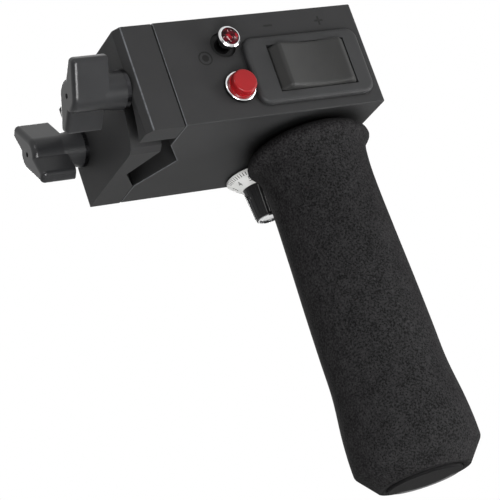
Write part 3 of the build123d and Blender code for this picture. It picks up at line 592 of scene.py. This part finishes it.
def signal_jewel():
    """Lens of the signal lamp: a table and two rows of flat facets over a round girdle."""
    low, high = low_corner("lamp_lens"), high_corner("lamp_lens")
    centre = (low + high) / 2
    radius = (high.z - low.z) / 2
    shape = bmesh.new()
    rings = []
    for share, rise, shift in lens_rows:
        ring = []
        for facet in range(lens_facets):
            x, z = on_circle(radius * share, facet + shift / 2, lens_facets)
            y = high.y + (low.y - high.y) * rise
            ring.append(shape.verts.new((centre.x + x, y, centre.z + z)))
        rings.append(ring)
    join_rings(shape, rings[:2])
    for lower, upper, turned in ((rings[1], rings[2], True), (rings[2], rings[3], False)):
        for here in range(lens_facets):
            after = (here + 1) % lens_facets
            if turned:
                shape.faces.new((lower[here], lower[after], upper[here]))
                shape.faces.new((lower[after], upper[after], upper[here]))
            else:
                shape.faces.new((lower[here], lower[after], upper[after]))
                shape.faces.new((lower[here], upper[after], upper[here]))
    shape.faces.new(rings[0])
    shape.faces.new(rings[-1])
    mesh = mesh_of(shape, "signal_jewel", smooth=False)
    piece = keep("signal_jewel", mesh, materials["red_lens"], "root")
    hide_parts("lamp_lens")


# Marks cut in the control face and filled black: a record sign, and minus and plus for the zoom
mark_rise = 0.03
mark_sides = 40
record_mark = (17.4, 4.2)
minus_mark = (45.1, 14.1)
plus_mark = (65.6, 14.1)
dot_radius = 1.25
ring_radii = (2.15, 2.6)
sign_length = 3.4
sign_width = 0.7


def flat_mark(name, outlines, spot):
    """Thin inlaid mark on the control face, made of flat outlines round a spot."""
    shape = bmesh.new()
    for outline in outlines:
        lower = [shape.verts.new((x * mm, y * mm, 0)) for x, y in outline]
        upper = [shape.verts.new((x * mm, y * mm, mark_rise * mm)) for x, y in outline]
        shape.faces.new(lower[::-1])
        shape.faces.new(upper)
        for here in range(len(outline)):
            after = (here + 1) % len(outline)
            shape.faces.new((lower[here], lower[after], upper[after], upper[here]))
    place = Matrix.Translation((spot[0] * mm, front_y, spot[1] * mm))
    shape.transform(place @ Matrix.Rotation(math.radians(90), 4, "X"))
    keep(name, mesh_of(shape, name, smooth=False), ink, "root")


def bar_outline(width, height, rise=0.0):
    """Rectangle whose middle lies at a rise over the mark's middle."""
    low, high = rise - height / 2, rise + height / 2
    return [(-width / 2, low), (width / 2, low), (width / 2, high), (-width / 2, high)]


def face_marks():
    """Record sign beside the button, and minus and plus over the rocker."""
    inner, outer = ring_radii
    sign = [[on_circle(dot_radius, side, mark_sides) for side in range(mark_sides)]]
    for side in range(mark_sides):
        sign.append([
            on_circle(inner, side, mark_sides), on_circle(outer, side, mark_sides),
            on_circle(outer, side + 1, mark_sides), on_circle(inner, side + 1, mark_sides),
        ])
    flat_mark("record_mark", sign, record_mark)
    bar = bar_outline(sign_length, sign_width)
    flat_mark("zoom_out_mark", [bar], minus_mark)
    arm, arm_rise = (sign_length - sign_width) / 2, (sign_length + sign_width) / 4
    arms = [bar_outline(sign_width, arm, rise) for rise in (arm_rise, -arm_rise)]
    flat_mark("zoom_in_mark", [bar] + arms, plus_mark)


# Dial's skirt: its cone, and ticks and figures placed by their share of the way down the cone
skirt_foot_radius = 6.4
skirt_rim = 0.8
tick_count = 60
ticks_shown = 41
tick_start = math.radians(-190)
tick_share = 0.12
tick_width = 0.30
tick_length = 1.5
print_rise = 0.03
figure_count = 10
figure_start = math.radians(60)
figure_sweep = math.radians(300)
figure_share = 0.60
figure_height = 2.1
font_factor = 1.4

# Dial's body: flutes all round it and two pale lines painted as glints, which end short of its ends
body_tip_radius = 4.75
rib_share = 0.90
flute_count = 20
flute_width = 0.34
flute_rise = 0.24
glint_count = 30
glint_shown = 2
glint_start = math.radians(-120)
glint_width = 0.22
glint_rise = 0.34

# Spun disc in the dial's end: its bright rim, the step inside it and the dished floor
lathe_rounds = 96
disc_rim = 0.5
disc_bevel = 0.1
disc_hub = 0.05
disc_dish = 0.06
floor_share = 0.72
step_gap = 0.03
step_wall = 0.12


def tree_node(tree, kind, settings=None, sockets=None):
    """Node of a geometry tree with its settings, then its sockets' values or links."""
    made = tree.nodes.new(kind)
    for key, value in (settings or {}).items():
        setattr(made, key, value)
    for key, value in (sockets or {}).items():
        if isinstance(value, bpy.types.NodeSocket):
            tree.links.new(value, made.inputs[key])
        else:
            made.inputs[key].default_value = value
    return made


def ribs_round_cone():
    """Tree of bars laid on a cone: Count places, the first Shown of them used, each bar Width wide,
    Length long and Rise thick, tipped by Tilt towards the axis, with their middles at Radius."""
    tree = bpy.data.node_groups.new("ribs_round_cone", "GeometryNodeTree")
    tree.interface.new_socket("Geometry", in_out="OUTPUT", socket_type="NodeSocketGeometry")
    inputs = {"Count": "Int", "Shown": "Int", "Material": "Material"}
    inputs.update(dict.fromkeys(("Radius", "Width", "Length", "Rise", "Tilt"), "Float"))
    for label, kind in inputs.items():
        tree.interface.new_socket(label, in_out="INPUT", socket_type="NodeSocket" + kind)
    given = tree.nodes.new("NodeGroupInput").outputs

    bar_size = tree_node(tree, "ShaderNodeCombineXYZ", None, {
        0: given["Rise"], 1: given["Width"], 2: given["Length"],
    })
    bar = tree_node(tree, "GeometryNodeMeshCube", None, {
        "Size": bar_size.outputs[0], "Vertices X": 2, "Vertices Y": 2, "Vertices Z": 4,
    })
    circle = tree_node(tree, "GeometryNodeMeshCircle", None, {
        "Vertices": given["Count"], "Radius": given["Radius"],
    })
    number = tree_node(tree, "GeometryNodeInputIndex").outputs[0]
    step = tree_node(tree, "ShaderNodeMath", {"operation": "DIVIDE"}, {
        0: 2 * math.pi, 1: given["Count"],
    })
    angle = tree_node(tree, "ShaderNodeMath", {"operation": "MULTIPLY"}, {
        0: number, 1: step.outputs[0],
    })
    turn = tree_node(tree, "ShaderNodeCombineXYZ", None, {1: given["Tilt"], 2: angle.outputs[0]})
    shown = tree_node(tree, "ShaderNodeMath", {"operation": "LESS_THAN"}, {
        0: number, 1: given["Shown"],
    })
    copies = tree_node(tree, "GeometryNodeInstanceOnPoints", None, {
        "Points": circle.outputs[0], "Selection": shown.outputs[0], "Instance": bar.outputs[0],
        "Rotation": turn.outputs[0],
    })
    real = tree_node(tree, "GeometryNodeRealizeInstances", None, {0: copies.outputs[0]})
    coloured = tree_node(tree, "GeometryNodeSetMaterial", None, {
        "Geometry": real.outputs[0], "Material": given["Material"],
    })
    tree_node(tree, "NodeGroupOutput", None, {0: coloured.outputs[0]})
    return tree


def dial_ribs(name, tree, values, height, turn):
    """Ribs that the tree makes from its inputs' values, round the dial's axis at a height."""
    holder = bpy.data.objects.new(name + "_maker", bpy.data.meshes.new(name + "_maker"))
    bpy.context.scene.collection.objects.link(holder)
    modifier = holder.modifiers.new("maker", "NODES")
    modifier.node_group = tree
    for item in tree.interface.items_tree:
        if item.in_out == "INPUT":
            modifier[item.identifier] = values[item.name]
    mesh = mesh_from(holder, name)
    holder.modifiers.remove(modifier)
    bpy.data.objects.remove(holder)
    place = Matrix.Translation((dial_axis.x, dial_axis.y, height))
    mesh.transform(place @ Matrix.Rotation(turn, 4, "Z"))
    keep(name, mesh, values["Material"], "dial")


def skirt_cone():
    """The skirt's cone: upper and lower radius, upper and lower height, and its lean."""
    low, high = low_corner("dial_skirt"), high_corner("dial_skirt")
    narrow = skirt_foot_radius * mm
    upper, lower = high.z - skirt_rim * mm, low.z
    lean = math.atan2(skirt_radius - narrow, upper - lower)
    return skirt_radius, narrow, upper, lower, lean


def dial_details():
    """Ticks on the skirt, and flutes and two pale painted glint lines on the dial's body."""
    tree = ribs_round_cone()
    wide, narrow, upper, lower, lean = skirt_cone()
    ticks = {
        "Count": tick_count, "Shown": ticks_shown, "Radius": wide + (narrow - wide) * tick_share,
        "Width": tick_width * mm, "Length": tick_length * mm, "Rise": 2 * print_rise * mm,
        "Tilt": lean, "Material": scale_ink,
    }
    height = upper + (lower - upper) * tick_share
    dial_ribs("dial_ticks", tree, ticks, height, tick_start)

    low, high = low_corner("dial_body"), high_corner("dial_body")
    length = high.z - low.z
    tip = body_tip_radius * mm
    flutes = {
        "Count": flute_count, "Shown": flute_count, "Radius": (body_radius + tip) / 2,
        "Width": flute_width * mm, "Length": length * rib_share, "Rise": flute_rise * mm,
        "Tilt": math.atan2(body_radius - tip, length), "Material": materials["dial_plastic"],
    }
    height = (low.z + high.z) / 2
    dial_ribs("dial_flutes", tree, flutes, height, math.pi / flute_count)
    # Two pale ribs painted as glints running along the flutes
    glint_lines = flutes | {
        "Count": glint_count, "Shown": glint_shown, "Width": glint_width * mm,
        "Rise": glint_rise * mm, "Material": painted_glint_pale,
    }
    dial_ribs("dial_glint_lines", tree, glint_lines, height, glint_start)


def lathe(name, profile, centre, material, body):
    """Ring turned round the vertical through centre from a closed outline of radius and height."""
    shape = bmesh.new()
    rings = []
    for radius, height in profile:
        corners = [on_circle(radius, number, lathe_rounds) for number in range(lathe_rounds)]
        rings.append([shape.verts.new((centre.x + x, centre.y + y, height)) for x, y in corners])
    join_rings(shape, rings + rings[:1])
    return keep(name, mesh_of(shape, name, smooth=False), material, body)


def dial_end():
    """Spun end of the dial: a thin bright rim, a dark step inside it and a dished bright floor."""
    low, high = low_corner("dial_cap"), high_corner("dial_cap")
    radius = (high.x - low.x) / 2
    step = radius - disc_rim * mm
    floor = low.z + (high.z - low.z) * floor_share
    hub, bevel, dish = disc_hub * mm, disc_bevel * mm, disc_dish * mm
    face = [
        (hub, high.z), (radius, high.z), (radius, low.z + bevel), (radius - bevel, low.z),
        (step, low.z), (step, floor + dish), (radius / 2, floor + dish / 3), (hub, floor),
    ]
    piece = lathe("dial_end", face, dial_axis, materials["bright_aluminium"], "dial")
    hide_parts("dial_cap")
    inside = step - step_wall * mm
    wall = [
        (step, low.z + step_gap * mm), (step, floor), (inside, floor),
        (inside, low.z + step_wall * mm),
    ]
    lathe("dial_end_step", wall, dial_axis, materials["dial_plastic"], "dial")


def dial_figures():
    """Figures on the skirt's cone, with their tops towards the housing."""
    wide, narrow, upper, lower, lean = skirt_cone()
    radius = wide + (narrow - wide) * figure_share
    height = upper + (lower - upper) * figure_share
    shape = bmesh.new()
    for number in range(figure_count):
        curve = bpy.data.curves.new("figure", "FONT")
        curve.body = str(number)
        curve.size = figure_height * font_factor * mm
        curve.align_x = "CENTER"
        curve.align_y = "CENTER"
        curve.extrude = print_rise * mm
        curve.resolution_u = 4
        holder = bpy.data.objects.new("figure", curve)
        bpy.context.scene.collection.objects.link(holder)
        mesh = mesh_from(holder, "figure")
        bpy.data.objects.remove(holder)
        angle = figure_start + figure_sweep * number / (figure_count - 1)
        outward = Vector((math.cos(angle), math.sin(angle), 0))
        normal = outward * math.cos(lean) - Vector((0, 0, math.sin(lean)))
        up = outward * math.sin(lean) + Vector((0, 0, math.cos(lean)))
        right = up.cross(normal)
        mesh.transform(Matrix((
            (right.x, up.x, normal.x, dial_axis.x + outward.x * radius),
            (right.y, up.y, normal.y, dial_axis.y + outward.y * radius),
            (right.z, up.z, normal.z, height),
            (0, 0, 0, 1),
        )))
        shape.from_mesh(mesh)
        bpy.data.meshes.remove(mesh)
    mesh = mesh_of(shape, "dial_figures", smooth=False)
    keep("dial_figures", mesh, scale_ink, "dial")


foam_grip()
signal_jewel()
face_marks()
dial_details()
dial_end()
dial_figures()


def make_camera():
    """Camera at the photograph's viewing angle."""
    camera = bpy.data.cameras.new("camera")
    camera.lens = camera_lens
    camera.sensor_width = camera_sensor
    camera.clip_end = camera_reach
    holder = bpy.data.objects.new("camera", camera)
    holder.location = camera_place
    holder.rotation_euler = [math.radians(angle) for angle in camera_turn]
    bpy.context.scene.collection.objects.link(holder)
    bpy.context.scene.camera = holder


def make_lamp(name, place, size, watts):
    """Soft square lamp aimed at the object."""
    light = bpy.data.lights.new(name, "AREA")
    light.shape = "SQUARE"
    light.size = size
    light.energy = watts
    holder = bpy.data.objects.new(name, light)
    holder.location = place
    aim = Vector(lamp_target) - Vector(place)
    holder.rotation_euler = aim.to_track_quat("-Z", "Y").to_euler()
    bpy.context.scene.collection.objects.link(holder)


def seen_white(paint, rest):
    """Shader that is white where the camera, gloss or glass sees it, and rest to other light."""
    white = paint.node("ShaderNodeBackground", None, {"Color": (1, 1, 1, 1), "Strength": 1.0})
    camera_ray = paint.node("ShaderNodeLightPath", output="Is Camera Ray")
    gloss_ray = paint.node("ShaderNodeLightPath", output="Is Glossy Ray")
    glass_ray = paint.node("ShaderNodeLightPath", output="Is Transmission Ray")
    seen = camera_ray.maths("MAXIMUM", gloss_ray).maths("MAXIMUM", glass_ray)
    return paint.node("ShaderNodeMixShader", None, {0: seen, 1: rest, 2: white})


def make_world():
    """Even pale room, seen as white."""
    world = bpy.data.worlds.new("studio")
    world.use_nodes = True
    bpy.context.scene.world = world
    world.node_tree.nodes.clear()
    paint = Shade(world.node_tree)
    sockets = {"Color": (*room_grey, 1), "Strength": room_strength}
    room = paint.node("ShaderNodeBackground", None, sockets)
    out = world.node_tree.nodes.new("ShaderNodeOutputWorld")
    world.node_tree.links.new(seen_white(paint, room).socket, out.inputs[0])


def make_floor():
    """Plain pale floor, well below the grip because the camera looks up at the box."""
    material, shader, paint, places = new_material("pale_floor")
    cloud = paint.noise(places, scale=6.0)
    finish_material(material, shader, cloud.mixed(*floor_greys), 0.7 + cloud * 0.1)
    shape = bmesh.new()
    bmesh.ops.create_grid(shape, x_segments=2, y_segments=2, size=floor_span)
    mesh = bpy.data.meshes.new("floor")
    shape.to_mesh(mesh)
    shape.free()
    mesh.transform(Matrix.Translation((0, 0, -floor_drop)))
    mesh.materials.append(material)
    floor = bpy.data.objects.new("floor", mesh)
    bpy.context.scene.collection.objects.link(floor)


make_camera()
make_world()
make_floor()
for name, place, size, watts in lamps:
    make_lamp(name, place, size, watts)

bpy.context.scene.view_settings.view_transform = "Standard"
